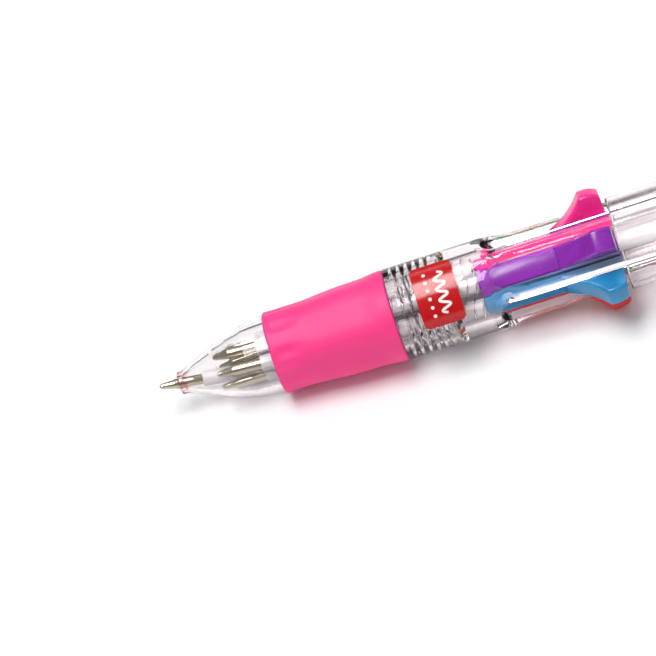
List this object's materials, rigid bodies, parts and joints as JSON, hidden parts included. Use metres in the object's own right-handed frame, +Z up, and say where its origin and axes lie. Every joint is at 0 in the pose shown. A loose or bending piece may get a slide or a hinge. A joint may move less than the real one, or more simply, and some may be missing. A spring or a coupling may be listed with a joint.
{
  "type": "multicolor click pen",
  "caption": "Multicolor click pen with a clear barrel, rubber grip, thumb sliders in slots round the barrel, a sprung refill on each slider and a hinged pocket clip.",
  "frame": {"origin": "under the middle of the pen as it lies on a table, at the table's surface", "axes": "+X along the pen towards its rear, so the nib points to -X; +Z up"},
  "size_m": [0.1036, 0.0192, 0.0181],
  "materials": {
    "clear_plastic": "clear moulded plastic, glossy",
    "pink_rubber": "matte soft rubber",
    "red_label": "glossy printed film",
    "white_plastic": "satin moulded plastic",
    "pink_plastic": "glossy moulded plastic",
    "purple_plastic": "glossy moulded plastic",
    "blue_plastic": "glossy moulded plastic",
    "green_plastic": "glossy moulded plastic",
    "orange_plastic": "glossy moulded plastic",
    "red_plastic": "glossy moulded plastic",
    "refill_tube": "translucent extruded plastic",
    "nib_metal": "machined nickel silver",
    "ball_metal": "polished",
    "spring_steel": "drawn wire"
  },
  "bodies": {
    "barrel": {"nose_section": "clear_plastic", "rubber_grip": "pink_rubber", "upper_barrel": "clear_plastic", "label": "red_label", "guide_disc": "white_plastic", "selector_core": "white_plastic", "rear_cap": "clear_plastic", "end_plug": "pink_plastic", "clip_pin": "spring_steel", "spring_pink": "spring_steel", "spring_purple": "spring_steel", "spring_blue": "spring_steel", "spring_red": "spring_steel", "spring_orange": "spring_steel", "spring_green": "spring_steel"},
    "clip": {"clip": "clear_plastic"},
    "slider_pink": {"slider_pink": "pink_plastic"},
    "ink_pink": {"refill_pink": "refill_tube", "nib_pink": "nib_metal", "ball_pink": "ball_metal"},
    "slider_purple": {"slider_purple": "purple_plastic"},
    "ink_purple": {"refill_purple": "refill_tube", "nib_purple": "nib_metal", "ball_purple": "ball_metal"},
    "slider_blue": {"slider_blue": "blue_plastic"},
    "ink_blue": {"refill_blue": "refill_tube", "nib_blue": "nib_metal", "ball_blue": "ball_metal"},
    "slider_red": {"slider_red": "red_plastic"},
    "ink_red": {"refill_red": "refill_tube", "nib_red": "nib_metal", "ball_red": "ball_metal"},
    "slider_orange": {"slider_orange": "orange_plastic"},
    "ink_orange": {"refill_orange": "refill_tube", "nib_orange": "nib_metal", "ball_orange": "ball_metal"},
    "slider_green": {"slider_green": "green_plastic"},
    "ink_green": {"refill_green": "refill_tube", "nib_green": "nib_metal", "ball_green": "ball_metal"}
  },
  "joints": [
    {"name": "pink_slide", "type": "slide", "parent": "barrel", "child": "slider_pink", "axis": [-1, 0, 0], "range_m": [0, 0.0095], "stiffness_N_per_m": 120, "springref_m": -0.008, "deforming": ["spring_pink"]},
    {"name": "pink_swing", "type": "hinge", "parent": "slider_pink", "child": "ink_pink", "pos_m": [-0.00017, 0.00178, 0.01214], "axis": [-0.0563, -0.3757, 0.925], "range_deg": [0, 3.97], "deforming": ["refill_pink", "nib_pink", "ball_pink"]},
    {"name": "purple_slide", "type": "slide", "parent": "barrel", "child": "slider_purple", "axis": [-1, 0, 0], "range_m": [0, 0.0095], "stiffness_N_per_m": 120, "springref_m": -0.008, "deforming": ["spring_purple"]},
    {"name": "purple_swing", "type": "hinge", "parent": "slider_purple", "child": "ink_purple", "pos_m": [-0.00017, -0.00178, 0.01214], "axis": [-0.0563, -0.989, 0.1371], "range_deg": [0, 3.97], "deforming": ["refill_purple", "nib_purple", "ball_purple"]},
    {"name": "blue_slide", "type": "slide", "parent": "barrel", "child": "slider_blue", "axis": [-1, 0, 0], "range_m": [0, 0.0095], "stiffness_N_per_m": 120, "springref_m": -0.008, "deforming": ["spring_blue"]},
    {"name": "blue_swing", "type": "hinge", "parent": "slider_blue", "child": "ink_blue", "pos_m": [-0.00017, -0.00355, 0.00907], "axis": [-0.0563, -0.6132, -0.7879], "range_deg": [0, 3.97], "deforming": ["refill_blue", "nib_blue", "ball_blue"]},
    {"name": "red_slide", "type": "slide", "parent": "barrel", "child": "slider_red", "axis": [-1, 0, 0], "range_m": [0, 0.0095], "stiffness_N_per_m": 120, "springref_m": -0.008, "deforming": ["spring_red"]},
    {"name": "red_swing", "type": "hinge", "parent": "slider_red", "child": "ink_red", "pos_m": [-0.00017, -0.00178, 0.006], "axis": [-0.0563, 0.3757, -0.925], "range_deg": [0, 3.97], "deforming": ["refill_red", "nib_red", "ball_red"]},
    {"name": "orange_slide", "type": "slide", "parent": "barrel", "child": "slider_orange", "axis": [1, 0, 0], "range_m": [0, 0.0095], "deforming": ["spring_orange"]},
    {"name": "orange_swing", "type": "hinge", "parent": "slider_orange", "child": "ink_orange", "pos_m": [-0.00967, 0.00178, 0.006], "axis": [0.0564, -0.9815, 0.1831], "range_deg": [0, 4.49], "deforming": ["refill_orange", "nib_orange", "ball_orange"]},
    {"name": "green_slide", "type": "slide", "parent": "barrel", "child": "slider_green", "axis": [-1, 0, 0], "range_m": [0, 0.0095], "stiffness_N_per_m": 120, "springref_m": -0.008, "deforming": ["spring_green"]},
    {"name": "green_swing", "type": "hinge", "parent": "slider_green", "child": "ink_green", "pos_m": [-0.00017, 0.00355, 0.00907], "axis": [-0.0563, 0.6132, 0.7879], "range_deg": [0, 3.97], "deforming": ["refill_green", "nib_green", "ball_green"]},
    {"name": "clip_open", "type": "hinge", "parent": "barrel", "child": "clip", "pos_m": [0.03923, 0.0074, 0.00479], "axis": [0, -0.5, -0.866], "range_deg": [0, 6], "stiffness_Nm_per_rad": 0.2, "springref_deg": -8.59}
  ],
  "couplings": [
    {"joint": "pink_swing", "follows": "pink_slide", "rad_per_m": 7.2847},
    {"joint": "purple_swing", "follows": "purple_slide", "rad_per_m": 7.2847},
    {"joint": "blue_swing", "follows": "blue_slide", "rad_per_m": 7.2847},
    {"joint": "red_swing", "follows": "red_slide", "rad_per_m": 7.2847},
    {"joint": "orange_swing", "follows": "orange_slide", "rad_per_m": 8.242},
    {"joint": "green_swing", "follows": "green_slide", "rad_per_m": 7.2847}
  ]
}
